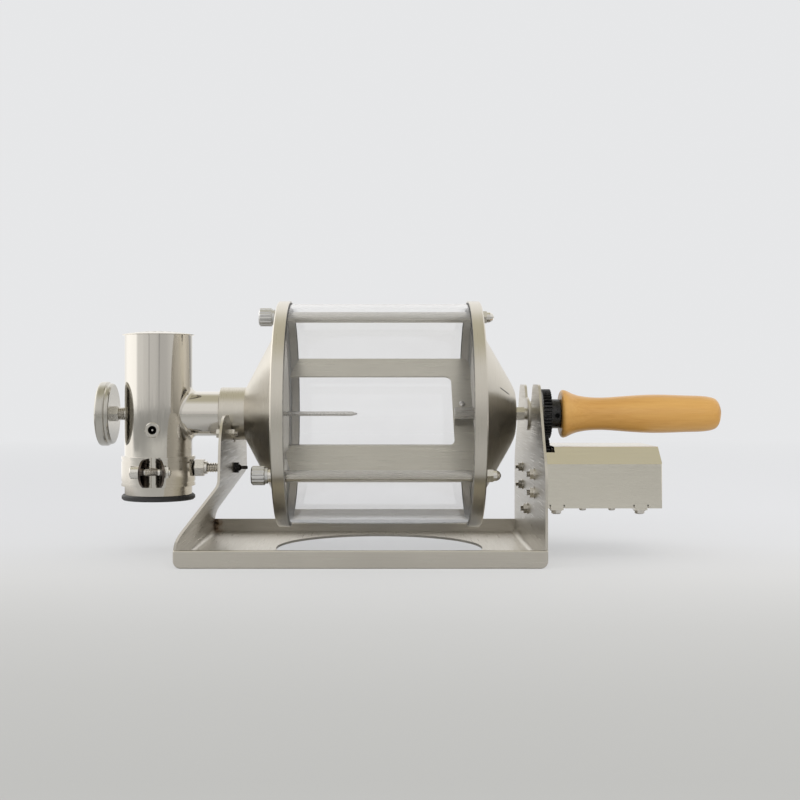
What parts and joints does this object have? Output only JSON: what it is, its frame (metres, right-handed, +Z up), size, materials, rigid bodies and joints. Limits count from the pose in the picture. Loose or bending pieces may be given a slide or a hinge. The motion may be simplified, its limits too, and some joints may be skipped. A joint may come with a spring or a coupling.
{
  "type": "stovetop coffee bean roaster",
  "caption": "Glass drum roaster on a folded steel stand, turned by a gear motor, with a wooden handle, an agitator, a chaff collector and a dial thermometer.",
  "frame": {"origin": "on the surface it stands on, under the middle of the whole object's box", "axes": "+X along the drum axis from the dial to the handle, +Y away from the viewer, +Z up"},
  "size_m": [0.53, 0.22, 0.212],
  "materials": {
    "satin_steel": "satin stainless",
    "bright_steel": "bright fasteners",
    "polished_steel": "mirror polished stainless",
    "knurled_alloy": "knurled, matt",
    "black_steel": "black oxide",
    "clear_glass": "clear borosilicate",
    "clear_silicone": "soft translucent",
    "bronze": "sintered bronze",
    "beech": "lacquered",
    "black_rubber": "matt",
    "black_plastic": "moulded",
    "dial_white": "printed white"
  },
  "bodies": {
    "base": {"stand": "satin_steel", "front_rail": "satin_steel", "back_rail": "satin_steel", "roller_bolts": "bright_steel", "roller_spacers": "bright_steel", "roller_nuts": "bright_steel", "gearbox": "satin_steel", "motor_can": "black_steel", "motor_bracket": "satin_steel", "bracket_screws": "bright_steel", "motor_base": "satin_steel", "motor_cover": "satin_steel", "cover_screws": "bright_steel", "base_screws": "bright_steel", "motor_jack": "black_plastic", "mount_bolts": "bright_steel", "mount_nuts": "bright_steel", "collector_tube": "polished_steel", "fan_frame": "black_plastic", "fan_jack": "polished_steel", "fan_jack_pin": "bright_steel", "clamp_band": "polished_steel", "clamp_bolt": "bright_steel", "clamp_nut": "bright_steel", "brace_stud": "bright_steel", "brace_nut": "bright_steel", "brace_lock_nut": "black_steel", "dial_case": "polished_steel", "dial_plate": "dial_white", "dial_lens": "clear_glass", "probe_gland": "bright_steel", "probe": "bright_steel"},
    "grip": {"handle_grip": "beech", "handle_bush": "bronze", "shaft_bearing": "satin_steel"},
    "drum": {"left_cap": "satin_steel", "neck_collar": "satin_steel", "right_cap": "satin_steel", "glass_tube": "clear_glass", "glass_gaskets": "clear_silicone", "tie_rods": "satin_steel", "rod_collars": "satin_steel", "thumb_nuts": "knurled_alloy", "acorn_nuts": "bright_steel", "hex_shaft": "satin_steel", "agitator": "satin_steel", "agitator_screw": "bright_steel", "agitator_nut": "bright_steel", "driven_gear": "black_steel", "gear_set_screw": "black_steel", "shaft_clip": "black_steel"},
    "pinion": {"pinion": "black_steel", "motor_shaft": "bright_steel"},
    "front_roller": {"front_roller": "bright_steel"},
    "back_roller": {"back_roller": "bright_steel"},
    "lid": {"collector_lid": "polished_steel"},
    "cup": {"chaff_cup": "polished_steel", "cup_ring": "black_rubber"},
    "fan": {"fan_rotor": "black_plastic"},
    "pointer": {"dial_pointer": "black_steel"}
  },
  "joints": [
    {"name": "drum_tilt", "type": "hinge", "parent": "base", "child": "grip", "pos_m": [-0.16, 0, 0.116], "axis": [0, -1, 0], "range_deg": [0, 10]},
    {"name": "drum_spin", "type": "hinge", "parent": "grip", "child": "drum", "pos_m": [0, 0, 0.116], "axis": [1, 0, 0], "continuous": true},
    {"name": "motor_spin", "type": "hinge", "parent": "base", "child": "pinion", "pos_m": [0.115, 0, 0.078], "axis": [1, 0, 0], "continuous": true},
    {"name": "front_roller_spin", "type": "hinge", "parent": "base", "child": "front_roller", "pos_m": [-0.1569, -0.02449, 0.1001], "axis": [1, 0, 0], "continuous": true},
    {"name": "back_roller_spin", "type": "hinge", "parent": "base", "child": "back_roller", "pos_m": [-0.1569, 0.02449, 0.1001], "axis": [1, 0, 0], "continuous": true},
    {"name": "lid_lift", "type": "slide", "parent": "base", "child": "lid", "axis": [0, 0, 1], "range_m": [0, 0.04]},
    {"name": "cup_slide", "type": "slide", "parent": "base", "child": "cup", "axis": [0, 0, -1], "range_m": [0, 0.032]},
    {"name": "fan_spin", "type": "hinge", "parent": "base", "child": "fan", "pos_m": [-0.2156, 0, 0.15], "axis": [0, 0, 1], "continuous": true},
    {"name": "pointer_sweep", "type": "hinge", "parent": "base", "child": "pointer", "pos_m": [-0.2604, 0, 0.116], "axis": [-1, 0, 0], "range_deg": [0, 270]}
  ],
  "couplings": [
    {"joint": "motor_spin", "follows": "drum_spin", "ratio": -1.1111},
    {"joint": "front_roller_spin", "follows": "drum_spin", "ratio": -3.4615},
    {"joint": "back_roller_spin", "follows": "drum_spin", "ratio": -3.4615}
  ]
}
